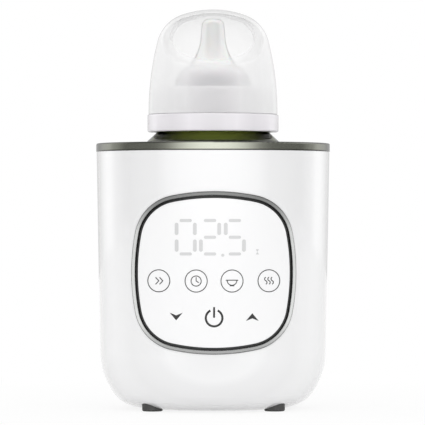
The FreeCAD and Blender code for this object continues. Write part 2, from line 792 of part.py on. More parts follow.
def make_top_ring():
    return turned("top_ring", [
        ("ring_inner", "body_top_height"),
        ("ring_radius", "body_top_height", "round", "edge_soft"),
        ("ring_radius", "ring_top", "round", "2 * edge_soft"),
        ("ring_mouth", "ring_top", "round", "edge_soft"),
        ("ring_mouth", "cover_top"),
        ("ring_inner", "cover_top"),
    ])


def make_top_cover():
    rim = "ring_inner - slip_gap"
    lip = "ring_mouth - slip_gap"
    skirt = "body_top_radius - shell_wall - part_gap - slip_gap"
    skirt_low = "body_top_height - cover_skirt"
    inside = f"{skirt} - cover_skirt_wall"
    seat_end = "mouth_radius + cover_seat_width"
    body = turned("top_cover_form", [
        ("mouth_radius", "cover_seat"),
        (seat_end, "cover_seat"),
        (inside, "body_top_height"),
        (inside, skirt_low),
        (skirt, skirt_low),
        (skirt, "body_top_height"),
        (rim, "body_top_height"),
        (rim, "cover_top"),
        (lip, "cover_top"),
        (lip, "cover_top + cover_rise", "round", "edge_soft"),
        ("ring_mouth - 3 * cover_rise", "cover_top + cover_rise", "round", "2 * edge_soft"),
        ("mouth_radius", "mouth_height", "round", "3 * edge_soft"),
    ])
    post = rod("clamp_post", "clamp_post_radius", "body_top_height - well_flange_low",
               ("clamp_post_side", "clamp_post_side", "well_flange_low"))
    hole = rod("clamp_post_hole", "clamp_screw_radius + screw_gap", "clamp_screw_grip + screw_gap",
               ("clamp_post_side", "clamp_post_side", "well_flange_low"))
    funnel = turned("post_limit", [
        ("0", "cover_seat - cover_skirt"),
        (skirt, "cover_seat - cover_skirt"),
        (skirt, "cover_top - cover_wall / 2"),
        ("mouth_radius", "mouth_height - cover_wall / 2"),
        ("0", "mouth_height - cover_wall / 2"),
    ])
    posts = common("clamp_posts", four(post), funnel)
    solid = fuse("top_cover_with_posts", body, posts)
    return name_part(cut("top_cover_drilled", solid, four(hole)), "top_cover")


def make_water_well():
    inner, outer = "well_radius", "well_radius + well_wall"
    body = turned("water_well", [
        ("0", "heater_top"),
        (outer, "heater_top", "round", "well_corner + well_wall"),
        (outer, "well_flange_low", "round", "2 * edge_soft"),
        ("well_flange", "well_flange_low"),
        ("well_flange", "well_flange_top"),
        (inner, "well_flange_top", "round", "edge_soft"),
        (inner, "well_floor", "round", "well_corner"),
        ("0", "well_floor"),
    ])
    sketch = sketch_on(body, "XZ_Plane", "well_rib_outline")
    low = "well_floor - well_floor_wall / 2"
    draw(sketch, [("rib_inner", low), ("rib_outer", low), ("rib_outer", "bottle_low"), ("rib_inner", "bottle_low")])
    rib = body.newObject("PartDesign::Pad", "well_rib")
    rib.Profile = sketch
    rib.SideType = "Symmetric"
    bind(rib, Length="rib_width")
    ring_array(body, rib, "rib_count")
    return body


def make_well_gasket():
    return turned("well_gasket", [
        ("mouth_radius", "well_flange_top"),
        ("well_flange", "well_flange_top"),
        ("well_flange", "cover_seat"),
        ("mouth_radius", "cover_seat"),
    ])


def make_clamp_ring():
    ring = turned("clamp_ring_blank", [
        ("clamp_inner", "well_flange_low - clamp_thick"),
        ("clamp_outer", "well_flange_low - clamp_thick"),
        ("clamp_outer", "well_flange_low"),
        ("clamp_inner", "well_flange_low"),
    ])
    hole = rod("clamp_ring_hole", "clamp_screw_radius + screw_gap", "3 * clamp_thick",
               ("clamp_post_side", "clamp_post_side", "well_flange_low - 2 * clamp_thick"))
    return name_part(cut("clamp_ring_drilled", ring, four(hole)), "well_clamp_ring")


def screw(label, head, head_tall, shank, grip, spot, up=True):
    """Pan-head screw: the spot is where the head bears; the shank runs up or down from it."""
    x, y, z = spot
    head_z = f"({z}) - ({head_tall})" if up else z
    shank_z = z if up else f"({z}) - ({grip})"
    return fuse(label, rod(label + "_head", head, head_tall, (x, y, head_z)),
                rod(label + "_shank", shank, grip, (x, y, shank_z)))


def make_clamp_screws():
    item = screw("clamp_screw", "small_head_radius", "small_head_tall", "clamp_screw_radius",
                 "clamp_thick + clamp_screw_grip",
                 ("clamp_post_side", "clamp_post_side", "well_flange_low - clamp_thick"))
    return name_part(four(item), "clamp_screws")


# ---------------------------------------------------------------- heater stack

def make_heater_plate():
    plate = part_body("heater_plate_blank")
    sketch = sketch_on(plate, "XY_Plane", "heater_disc")
    disc = sketch.addGeometry(Part.Circle(FreeCAD.Vector(0, 0, 0), FreeCAD.Vector(0, 0, 1), size_of("heater_radius")))
    pin(sketch, disc, 3, ("0", "0"))
    set_radius(sketch, disc, "heater_radius")
    pad = plate.newObject("PartDesign::Pad", "heater_disc_pad")
    pad.Profile = sketch
    bind(pad, Length="heater_thick")
    bind(plate, at_z="heater_low")
    slot = block("ptc_slot", "ptc_length + 2 * slip_gap", "ptc_width + 2 * slip_gap", "ptc_thick",
                 ("0", "0", "heater_low"))
    groove = rod("fuse_groove", "fuse_radius + part_gap", "fuse_length + 2 * fuse_wire_length",
                 ("-fuse_side", "-fuse_length / 2 - fuse_wire_length", "heater_low - fuse_wire_radius"), "Y")
    bore = rod("sensor_bore", "sensor_radius + slip_gap", "heater_thick", ("sensor_side", "sensor_back", "heater_low"))
    strap_hole = rod("strap_hole", "strap_screw_radius + screw_gap", "heater_thick - edge_soft",
                     ("0", "strap_screw_side", "heater_low"))
    holes = together("strap_holes", strap_hole, mirrored(strap_hole, (0, 1, 0)))
    spaces = fuse("heater_spaces", slot, groove, bore, holes)
    return name_part(cut("heater_plate_cut", plate, spaces), "heater_plate")


def make_ptc_heater():
    return block("ptc_heater", "ptc_length", "ptc_width", "ptc_thick", ("0", "0", "heater_low"))


def make_heater_clamp():
    strap = block("strap_blank", "strap_width", "strap_length", "strap_thick", ("0", "0", "heater_low - strap_thick"))
    hole = rod("strap_screw_hole", "strap_screw_radius + screw_gap", "3 * strap_thick",
               ("0", "strap_screw_side", "heater_low - 2 * strap_thick"))
    holes = together("strap_screw_holes", hole, mirrored(hole, (0, 1, 0)))
    return name_part(cut("strap_drilled", strap, holes), "heater_clamp")


def make_heater_screws():
    item = screw("strap_screw", "small_head_radius", "small_head_tall", "strap_screw_radius",
                 "heater_thick - strap_thick", ("0", "strap_screw_side", "heater_low - strap_thick"))
    return name_part(together("strap_screw_pair", item, mirrored(item, (0, 1, 0))), "heater_screws")


def make_thermostat():
    return name_part(bind(turned("thermostat", [
        ("0", "heater_low"),
        ("cutout_flange_radius", "heater_low"),
        ("cutout_flange_radius", "heater_low - cutout_flange"),
        ("cutout_radius", "heater_low - cutout_flange"),
        ("cutout_radius", "heater_low - cutout_height", "round", "edge_soft"),
        ("0", "heater_low - cutout_height"),
    ]), at_x="cutout_side"), "thermostat")


def make_thermal_fuse():
    height = "heater_low - fuse_wire_radius"
    case = rod("fuse_case", "fuse_radius", "fuse_length", ("-fuse_side", "-fuse_length / 2", height), "Y")
    wire = rod("fuse_wire", "fuse_wire_radius", "fuse_length + 2 * fuse_wire_length",
               ("-fuse_side", "-fuse_length / 2 - fuse_wire_length", height), "Y")
    return name_part(fuse("fuse_and_wire", case, wire), "thermal_fuse")


def make_temperature_sensor():
    return bind(turned("temperature_sensor", [
        ("0", "heater_low - sensor_foot_thick - sensor_tail"),
        ("sensor_radius", "heater_low - sensor_foot_thick - sensor_tail", "round", "edge_soft"),
        ("sensor_radius", "heater_low - sensor_foot_thick"),
        ("sensor_foot", "heater_low - sensor_foot_thick"),
        ("sensor_foot", "heater_low"),
        ("sensor_radius", "heater_low"),
        ("sensor_radius", "heater_top - slip_gap", "round", "edge_soft"),
        ("0", "heater_top - slip_gap"),
    ]), at_x="sensor_side", at_y="sensor_back")


# ---------------------------------------------------------------- base

def make_base_cover():
    disc = rod("base_disc", "base_radius", "post_joint", ("0", "0", "0"))
    skin = common("base_skin", hollow_body, disc)
    cup = common("foot_cup_trimmed", rod("foot_cup", "foot_cup_radius", "foot_cup_top", ("post_x", "post_y", "0")),
                 common("base_space", form_outside, disc))
    tube = rod("screw_tube", "post_radius", "post_joint - foot_height", ("post_x", "post_y", "foot_height"))
    stand = rod("board_stand", "board_post_radius", "power_height - shell_wall",
                ("power_screw_x", "power_screw_y", "shell_wall"))
    solid = fuse("base_with_posts", skin, four(cup), four(tube), four(stand))
    foot_seat = rod("foot_seat", "foot_radius + slip_gap", "foot_height", ("post_x", "post_y", "0"))
    head_seat = rod("screw_head_seat", "base_screw_head + screw_gap", "base_screw_head_tall + foot_height",
                    ("post_x", "post_y", "0"))
    through = rod("base_screw_way", "base_screw_radius + screw_gap", "2 * post_joint", ("post_x", "post_y", "0"))
    pilot = rod("board_pilot", "small_screw_radius + screw_gap", "small_screw_grip + screw_gap",
                ("power_screw_x", "power_screw_y", "power_height - small_screw_grip - screw_gap"))
    vents = part_body("base_vents")
    sketch = sketch_on(vents, "XY_Plane", "vent_outline")
    start = "(vent_count - 1) / 2 * vent_pitch"
    left, right = f"-{start} - vent_width / 2", f"vent_width / 2 - {start}"
    draw(sketch, [(left, "-vent_length / 2"), (right, "-vent_length / 2"),
                  (right, "vent_length / 2"), (left, "vent_length / 2")])
    slot = vents.newObject("PartDesign::Pad", "vent_slot")
    slot.Profile = sketch
    bind(slot, Length="sole_height + 2 * shell_wall")
    row = vents.newObject("PartDesign::LinearPattern", "vent_row")
    row.Originals = [slot]
    row.Direction = (origin_of(vents, "X_Axis"), [""])
    bind(row, Length="(vent_count - 1) * vent_pitch", Occurrences="vent_count")
    vents.Tip = row
    spaces = fuse("base_spaces", four(foot_seat), four(head_seat), four(through), four(pilot), vents)
    return name_part(cut("base_done", solid, spaces), "base_cover")


def make_rubber_feet():
    foot = bind(turned("foot", [
        ("0", "0"),
        ("foot_radius", "0", "round", "foot_edge"),
        ("foot_radius", "foot_height"),
        ("0", "foot_height"),
    ]), at_x="post_x", at_y="post_y")
    return name_part(four(foot), "rubber_feet")


def make_base_screws():
    item = screw("base_screw", "base_screw_head", "base_screw_head_tall", "base_screw_radius",
                 "tube_height - base_screw_head_tall + base_screw_grip",
                 ("post_x", "post_y", "foot_height + base_screw_head_tall"))
    return name_part(four(item), "base_screws")


# ---------------------------------------------------------------- power board

def make_power_board():
    board = block("power_board_blank", "power_length", "power_width", "board_thick", ("0", "0", "power_height"))
    hole = rod("power_board_hole", "small_screw_radius + screw_gap", "3 * board_thick",
               ("power_screw_x", "power_screw_y", "power_height - board_thick"))
    return name_part(cut("power_board_drilled", board, four(hole)), "power_board")


def make_board_screws():
    item = screw("board_screw", "small_head_radius", "small_head_tall", "small_screw_radius",
                 "board_thick + small_screw_grip", ("power_screw_x", "power_screw_y", "power_top"), up=False)
    return name_part(four(item), "board_screws")


def make_transformer():
    spot = ("-transformer_side", "0", "power_top")
    coil = block("transformer_coil", "transformer_length", "transformer_width", "transformer_tall", spot)
    core = block("transformer_core", "core_length", "core_width", "core_tall",
                 ("-transformer_side", "0", "power_top + core_low"))
    return name_part(fuse("transformer_whole", coil, core), "transformer")


def make_relay():
    return block("relay", "relay_length", "relay_width", "relay_tall", ("relay_side", "relay_back", "power_top"))


def make_capacitors():
    cans = []
    for number in range(3):
        spot = (f"can_side + {number} * can_pitch", "can_edge - power_width / 2", "power_top")
        cans.append(rod(f"capacitor_{number}", "can_radius", "can_tall", spot))
    return name_part(together("capacitor_row", *cans), "capacitors")


def make_terminal_block():
    spot = ("-terminal_side", "power_width / 2 - terminal_width / 2", "power_top")
    case = block("terminal_case", "terminal_length", "terminal_width", "terminal_tall", spot)
    holes = []
    for number in (-1, 0, 1):
        spot = (f"{number} * terminal_pitch - terminal_side", "power_width / 2 - terminal_width / 2",
                "power_top + terminal_tall / 2")
        holes.append(rod(f"terminal_hole_{number + 1}", "terminal_hole", "terminal_width", spot, "Y"))
    return name_part(cut("terminal_drilled", case, fuse("terminal_holes", *holes)), "terminal_block")


# ---------------------------------------------------------------- cord inlet

def make_cord_gland():
    front = "gland_seat + gland_flange_thick"
    rear = "gland_seat - gland_pad_wall - slip_gap - gland_barb_thick"
    flange = rod("gland_flange_disc", "gland_flange", "gland_flange_thick", ("0", "gland_seat", "gland_height"), "Y")
    tube = rod("gland_tube_rod", "gland_tube", f"{front} - ({rear})", ("0", rear, "gland_height"), "Y")
    barb = rod("gland_barb_disc", "gland_barb", "gland_barb_thick", ("0", rear, "gland_height"), "Y")
    bore = rod("gland_bore_hole", "gland_bore", f"{front} - ({rear})", ("0", rear, "gland_height"), "Y")
    return name_part(cut("gland_done", fuse("gland_solid", flange, tube, barb), bore), "cord_gland")


# ---------------------------------------------------------------- bottle

def make_bottle():
    inner, neck = "bottle_radius - bottle_wall", "neck_radius - bottle_wall"
    return turned("bottle", [
        ("0", "bottle_low"),
        ("bottle_radius", "bottle_low", "round", "bottle_bottom_edge"),
        ("bottle_radius", "shoulder_low", "round", "shoulder_round"),
        ("neck_radius", "shoulder_high", "round", "neck_round"),
        ("neck_radius", "rim_height", "round", "edge_soft"),
        (neck, "rim_height", "round", "edge_soft"),
        (neck, "shoulder_high - bottle_wall / 2", "round", "neck_round + bottle_wall"),
        (inner, "shoulder_low - bottle_wall / 2", "round", "shoulder_round - bottle_wall"),
        (inner, "bottle_low + bottle_wall", "round", "bottle_bottom_edge - bottle_wall"),
        ("0", "bottle_low + bottle_wall"),
    ])


def make_teat():
    wall = "teat_wall"
    root = "teat_root"
    return turned("teat", [
        (f"{root} - {wall}", "rim_height"),
        ("teat_flange", "rim_height"),
        ("teat_flange", "teat_seat", "round", "edge_soft"),
        (root, "teat_seat"),
        (root, "collar_top", "round", "edge_soft"),
        ("teat_dome_radius", "teat_dome_height", "arc", "teat_dome_arc"),
        ("teat_waist_radius", "teat_waist_height", "arc", "-teat_flare_arc"),
        ("teat_stem_radius", "teat_stem_height"),
        ("teat_end_radius", "teat_tip_height", "round", "teat_tip_round"),
        ("0", "teat_tip_height"),
        ("0", f"teat_tip_height - {wall}"),
        (f"teat_end_radius - {wall}", f"teat_tip_height - {wall}", "round", f"teat_tip_round - {wall}"),
        (f"teat_stem_radius - {wall}", "teat_stem_height", "arc", f"teat_flare_arc + {wall}"),
        (f"teat_waist_radius - {wall} * cos(teat_brow_turn)", f"teat_waist_height - {wall} * sin(teat_brow_turn)",
         "arc", f"-(teat_dome_arc - {wall})"),
        (f"teat_dome_radius - {wall}", "teat_dome_height"),
        (f"{root} - {wall}", "collar_top"),
    ])


def make_screw_collar():
    bore = "collar_bore"
    return turned("screw_collar", [
        (bore, "collar_low + 2 * collar_lead"),
        ("collar_bore + collar_lead", "collar_low"),
        ("collar_radius", "collar_low", "round", "2 * edge_soft"),
        ("collar_radius", "collar_ledge", "round", "edge_soft"),
        ("collar_boss", "collar_ledge"),
        ("collar_boss", "collar_top", "round", "collar_boss_round"),
        ("collar_hole", "collar_top", "round", "edge_soft"),
        ("collar_hole", "teat_seat"),
        (bore, "teat_seat"),
    ])


def make_dome_cap():
    wall = "cap_wall"

    def moved(radius, height, turn):
        return (f"{radius} - {wall} * cos({turn})", f"{height} - {wall} * sin({turn})")

    return turned("dome_cap", [
        ("cap_radius - cap_wall", "cap_low"),
        ("cap_radius", "cap_low"),
        ("cap_radius", "cap_side_height", "arc", "cap_side_arc"),
        ("cap_bend_low_radius", "cap_bend_low_height", "arc", "cap_bend_arc"),
        ("cap_bend_high_radius", "cap_bend_high_height", "arc", "crown_arc"),
        ("0", "cap_top"),
        ("0", "cap_top - cap_wall", "arc", "-(crown_arc - cap_wall)"),
        moved("cap_bend_high_radius", "cap_bend_high_height", "crown_turn") + ("arc", "-(cap_bend_arc - cap_wall)"),
        moved("cap_bend_low_radius", "cap_bend_low_height", "cap_bend_turn") + ("arc", "-(cap_side_arc - cap_wall)"),
        ("cap_radius - cap_wall", "cap_side_height"),
    ])


# ---------------------------------------------------------------- build, check and write

def check_document():
    doc.recompute()
    for item in doc.Objects:
        troubles = [state for state in item.State if state in ("Invalid", "Error")]
        shape = getattr(item, "Shape", None)
        if troubles:
            raise RuntimeError(f"{item.Label}: {troubles}")
        if shape is not None and item.TypeId != "Sketcher::SketchObject" and item.TypeId.startswith("Part"):
            if shape.isNull() or not shape.isValid():
                raise RuntimeError(f"{item.Label}: shape is empty or broken")


PARTS = [
    make_outer_shell(), make_base_cover(), make_rubber_feet(), make_base_screws(),
    make_top_ring(), make_top_cover(), make_water_well(), make_well_gasket(),
    make_clamp_ring(), make_clamp_screws(),
    make_heater_plate(), make_ptc_heater(), make_heater_clamp(), make_heater_screws(),
    make_thermostat(), make_thermal_fuse(), make_temperature_sensor(),
    make_power_board(), make_transformer(), make_relay(), make_capacitors(),
    make_terminal_block(), make_board_screws(),
    make_control_panel(), make_panel_trim(), make_display_board(), make_led_display(),
    make_touch_pads(), make_display_screws(), make_cord_gland(),
    make_bottle(), make_teat(), make_screw_collar(), make_dome_cap(),
]
check_document()
os.makedirs("parts", exist_ok=True)
for part in PARTS:
    part.Shape.exportStep(os.path.join("parts", part.Label + ".step"))
    print(part.Label, len(part.Shape.Solids), "solids", round(part.Shape.Volume), "mm3")
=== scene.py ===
import json
import math
import bmesh
import bpy
from mathutils import Matrix, Vector


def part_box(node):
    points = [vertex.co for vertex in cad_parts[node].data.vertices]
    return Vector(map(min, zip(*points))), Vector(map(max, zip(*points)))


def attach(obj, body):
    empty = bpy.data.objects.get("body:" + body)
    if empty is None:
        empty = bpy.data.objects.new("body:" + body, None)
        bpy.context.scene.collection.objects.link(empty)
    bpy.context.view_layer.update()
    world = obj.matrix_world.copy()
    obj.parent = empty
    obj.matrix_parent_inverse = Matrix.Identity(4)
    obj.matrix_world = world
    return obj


# Looks of a bottle warmer with a capped feeding bottle standing in it. Metres, Z up, front towards -Y.

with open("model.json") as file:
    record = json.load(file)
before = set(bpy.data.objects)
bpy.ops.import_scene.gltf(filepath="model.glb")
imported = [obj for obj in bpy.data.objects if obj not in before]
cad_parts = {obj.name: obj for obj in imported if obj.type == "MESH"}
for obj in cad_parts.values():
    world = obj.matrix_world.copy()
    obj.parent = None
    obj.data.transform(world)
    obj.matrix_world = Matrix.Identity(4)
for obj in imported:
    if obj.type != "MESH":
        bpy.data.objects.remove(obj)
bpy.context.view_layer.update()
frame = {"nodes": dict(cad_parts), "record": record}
MM = 0.001
SHELL_LOW, SHELL_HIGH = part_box("outer_shell")
TRIM_LOW, TRIM_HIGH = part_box("panel_trim")
PANEL_MIDDLE = (TRIM_LOW.z + TRIM_HIGH.z) / 2
SIDE_SLOPE = math.tan(math.radians(1))
BUMP_HEIGHT = 0.02 * MM


# ---------------------------------------------------------------- finishes

def wired(tree, kind, operation, given):
    """A node of the given kind with each input linked to a socket or set to a plain value."""
    node = tree.nodes.new(kind)
    node.operation = operation
    for socket, value in zip(node.inputs, given):
        if isinstance(value, bpy.types.NodeSocket):
            tree.links.new(value, socket)
        else:
            socket.default_value = value
    return node


def math_node(tree, operation, *given):
    """The result of a sum on numbers."""
    return wired(tree, "ShaderNodeMath", operation, given).outputs[0]


def vector_node(tree, operation, *given):
    """A sum on vectors, as a node because its result is a vector or a value."""
    return wired(tree, "ShaderNodeVectorMath", operation, given)


def own_place(tree):
    """Place on the piece, in its own coordinates."""
    return tree.nodes.new("ShaderNodeTexCoord").outputs["Object"]


def split_place(tree):
    """The same place as separate X, Y and Z."""
    parts = tree.nodes.new("ShaderNodeSeparateXYZ")
    tree.links.new(own_place(tree), parts.inputs[0])
    return parts.outputs


def surface_group():
    """Fine unevenness of a moulded, cast or rolled surface: a roughness and a bumped normal."""
    group = bpy.data.node_groups.new("fine_surface", "ShaderNodeTree")
    for name, kind, value in (("Scale", "NodeSocketFloat", 900.0), ("Stretch", "NodeSocketVector", (1, 1, 1)),
                              ("Roughness", "NodeSocketFloat", 0.2), ("Spread", "NodeSocketFloat", 0.02),
                              ("Depth", "NodeSocketFloat", 0.05)):
        socket = group.interface.new_socket(name, in_out="INPUT", socket_type=kind)
        socket.default_value = value
    for name, kind in (("Roughness", "NodeSocketFloat"), ("Normal", "NodeSocketVector"), ("Grain", "NodeSocketFloat")):
        group.interface.new_socket(name, in_out="OUTPUT", socket_type=kind)
    nodes, links = group.nodes, group.links
    given = nodes.new("NodeGroupInput").outputs
    result = nodes.new("NodeGroupOutput").inputs
    noise = nodes.new("ShaderNodeTexNoise")
    noise.inputs["Detail"].default_value = 3
    grain = noise.outputs["Fac"]
    bump = nodes.new("ShaderNodeBump")
    bump.inputs["Distance"].default_value = BUMP_HEIGHT
    stretched = vector_node(group, "MULTIPLY", own_place(group), given["Stretch"])
    links.new(stretched.outputs[0], noise.inputs["Vector"])
    links.new(given["Scale"], noise.inputs["Scale"])
    links.new(given["Depth"], bump.inputs["Strength"])
    links.new(grain, bump.inputs["Height"])
    centred = math_node(group, "SUBTRACT", grain, 0.5)
    links.new(math_node(group, "MULTIPLY_ADD", centred, given["Spread"], given["Roughness"]), result["Roughness"])
    links.new(bump.outputs["Normal"], result["Normal"])
    links.new(grain, result["Grain"])
    return group


FINE_SURFACE = surface_group()


def ramp(tree, source, stops):
    """A colour that runs through the given stops of (place, colour) along the source value."""
    made = tree.nodes.new("ShaderNodeValToRGB")
    places = made.color_ramp.elements
    for index, (place, colour) in enumerate(stops):
        stop = places[index] if index < 2 else places.new(place)
        stop.position = place
        stop.color = (*colour, 1) if isinstance(colour, tuple) else (colour, colour, colour, 1)
    tree.links.new(source, made.inputs["Fac"])
    return made.outputs["Color"]


def edge_on(tree):
    """0 where the surface faces the eye, 1 where it is seen edge on."""
    facing = tree.nodes.new("ShaderNodeLayerWeight")
    facing.inputs["Blend"].default_value = 0.5
    return facing.outputs["Facing"]


def height_between(tree, low, high, kind="SMOOTHSTEP"):
    """0 at the low height and 1 at the high one, in the piece's own coordinates."""
    share = tree.nodes.new("ShaderNodeMapRange")
    share.interpolation_type = kind
    share.inputs["From Min"].default_value = low
    share.inputs["From Max"].default_value = high
    tree.links.new(split_place(tree)["Z"], share.inputs["Value"])
    return share.outputs["Result"]


def blend(tree, share, first, second, kind="MIX"):
    """Mix two colours, each a socket or a plain colour."""
    mix = tree.nodes.new("ShaderNodeMix")
    mix.data_type = "RGBA"
    mix.blend_type = kind
    for socket, given in (("Factor", share), ("A", first), ("B", second)):
        if isinstance(given, bpy.types.NodeSocket):
            tree.links.new(given, mix.inputs[socket])
        elif socket == "Factor":
            mix.inputs[socket].default_value = given
        else:
            mix.inputs[socket].default_value = (*given, 1)
    return mix.outputs["Result"]


def finish(name, colour, roughness, spread=0.03, scale=900, depth=0.05, stretch=(1, 1, 1), tone=0.02, **sockets):
    """A named finish: base colour with a slight tone in its grain, and the shader's own sockets set plainly."""
    material = bpy.data.materials.new(name)
    material.use_nodes = True
    nodes, links = material.node_tree.nodes, material.node_tree.links
    shader = nodes["Principled BSDF"]
    surface = nodes.new("ShaderNodeGroup")
    surface.node_tree = FINE_SURFACE
    for socket, value in (("Scale", scale), ("Stretch", stretch), ("Roughness", roughness), ("Spread", spread),
                          ("Depth", depth)):
        surface.inputs[socket].default_value = value
    shade = nodes.new("ShaderNodeMix")
    shade.data_type = "RGBA"
    shade.inputs["A"].default_value = (*[part * (1 - tone) for part in colour], 1)
    shade.inputs["B"].default_value = (*colour, 1)
    links.new(surface.outputs["Grain"], shade.inputs["Factor"])
    links.new(shade.outputs["Result"], shader.inputs["Base Color"])
    links.new(surface.outputs["Roughness"], shader.inputs["Roughness"])
    links.new(surface.outputs["Normal"], shader.inputs["Normal"])
    for socket, value in sockets.items():
        shader.inputs[socket.replace("_", " ")].default_value = value
    return material


# Cap: share of its height that holds the window, how far the window is drawn in, how far round it reaches at each
# height, and the milk and tone from inside its edge to outside it. The milkier, paler band round the window is a
# painted reflection of the soft boxes, and the dark line at the window's edge is painted shade. The rest is milk and
# tone of the whole cap, with painted shade on its crown and along its outline.
WINDOW_SHARE = 0.55
WINDOW_CLOSE = 0.15
WINDOW_EDGE = ((0.0, 0.0), (1.0, 1.0), (0.08, 0.17), (0.21, 0.35), (0.46, 0.55), (0.73, 0.72), (0.9, 0.9))
WINDOW_MILK_AND_SHEEN = ((0.0, 0.2), (1.0, 0.9), (0.46, 0.22), (0.5, 0.42), (0.6, 0.5), (0.8, 0.6))
WINDOW_PAINTED_SHADE_AND_SHEEN = ((0.0, 0.86), (1.0, 0.99), (0.44, 0.85), (0.485, 0.74), (0.53, 0.95))
CAP_MILK = ((0.0, 0.68), (1.0, 1.0), (0.4, 0.94))
# painted shade: a darker crown, and a darker outline where the cap is seen edge on
CROWN_PAINTED_SHADE = ((0, 1.0), (1, 0.6))
CAP_EDGE_PAINTED_SHADE = ((0, 1.0), (1, 0.7), (0.82, 1.0))
WINDOW_FADE = ((0, 0.0), (1, 1.0), (0.3, 0.0), (0.6, 1.0))
INNER_SKIN_MILK = (0.04, 0.04, 0.04)
BELOW_WINDOW_TONE = (0.96, 0.96, 0.96)


def shade_cap(material):
    """A round clear window where the dome faces the eye; milky round it and down where it grips the collar. Round the
    window the milk and a paler tone are a painted reflection, and painted shade darkens the window's edge, the crown
    and the outline.
    """
    tree = material.node_tree
    shader = tree.nodes["Principled BSDF"]
    low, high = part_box("dome_cap")
    tall = high.z - low.z
    edge = edge_on(tree)
    rise = height_between(tree, high.z - WINDOW_SHARE * tall, high.z, "LINEAR")
    past_window = math_node(tree, "SUBTRACT", edge, ramp(tree, rise, WINDOW_EDGE))
    spread = math_node(tree, "MULTIPLY_ADD", past_window, 2.0, 0.5 + 2.0 * WINDOW_CLOSE)
    milk_and_sheen = blend(tree, 1.0, ramp(tree, spread, WINDOW_MILK_AND_SHEEN), ramp(tree, edge, CAP_MILK), "MULTIPLY")
    # painted shade on the crown and along the outline
    top = ramp(tree, height_between(tree, high.z - 0.2 * tall, high.z - 0.02 * tall), CROWN_PAINTED_SHADE)
    painted_crown_and_outline_shade = blend(tree, 1.0, top, ramp(tree, edge, CAP_EDGE_PAINTED_SHADE), "MULTIPLY")
    inner_skin = tree.nodes.new("ShaderNodeNewGeometry").outputs["Backfacing"]
    tree.links.new(blend(tree, inner_skin, milk_and_sheen, INNER_SKIN_MILK), shader.inputs["Alpha"])
    # painted reflection paler round the window, with painted shade at the window's edge
    tone = blend(tree, ramp(tree, rise, WINDOW_FADE), BELOW_WINDOW_TONE, ramp(tree, spread, WINDOW_PAINTED_SHADE_AND_SHEEN))
    tree.links.new(blend(tree, 1.0, tone, painted_crown_and_outline_shade, "MULTIPLY"), shader.inputs["Base Color"])


# painted light on the teat: highlights along the sides of the tip, a darker middle and outline, and shade at the foot
TEAT_PAINTED_HIGHLIGHT_AND_SHADE = ((0, 0.72), (1, 0.4), (0.1, 0.74), (0.25, 0.95), (0.55, 1.0), (0.72, 0.55))
TEAT_FOOT_PAINTED_SHADE = ((0, (0.42, 0.39, 0.44)), (1, (1.0, 1.0, 0.985)))


def shade_teat(material):
    """Soft silicone: painted highlights along the sides of the tip, painted shade in its middle and along its outline,
    and painted shade at its domed foot.
    """
    tree = material.node_tree
    shader = tree.nodes["Principled BSDF"]
    low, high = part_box("teat")
    tall = high.z - low.z
    # painted highlights along the sides, painted shade in the middle and at the outline
    body = ramp(tree, edge_on(tree), TEAT_PAINTED_HIGHLIGHT_AND_SHADE)
    # painted shade at the domed foot
    painted_foot_shade = ramp(tree, height_between(tree, low.z + 0.2 * tall, low.z + 0.5 * tall), TEAT_FOOT_PAINTED_SHADE)
    tree.links.new(blend(tree, 1.0, body, painted_foot_shade, "MULTIPLY"), shader.inputs["Base Color"])


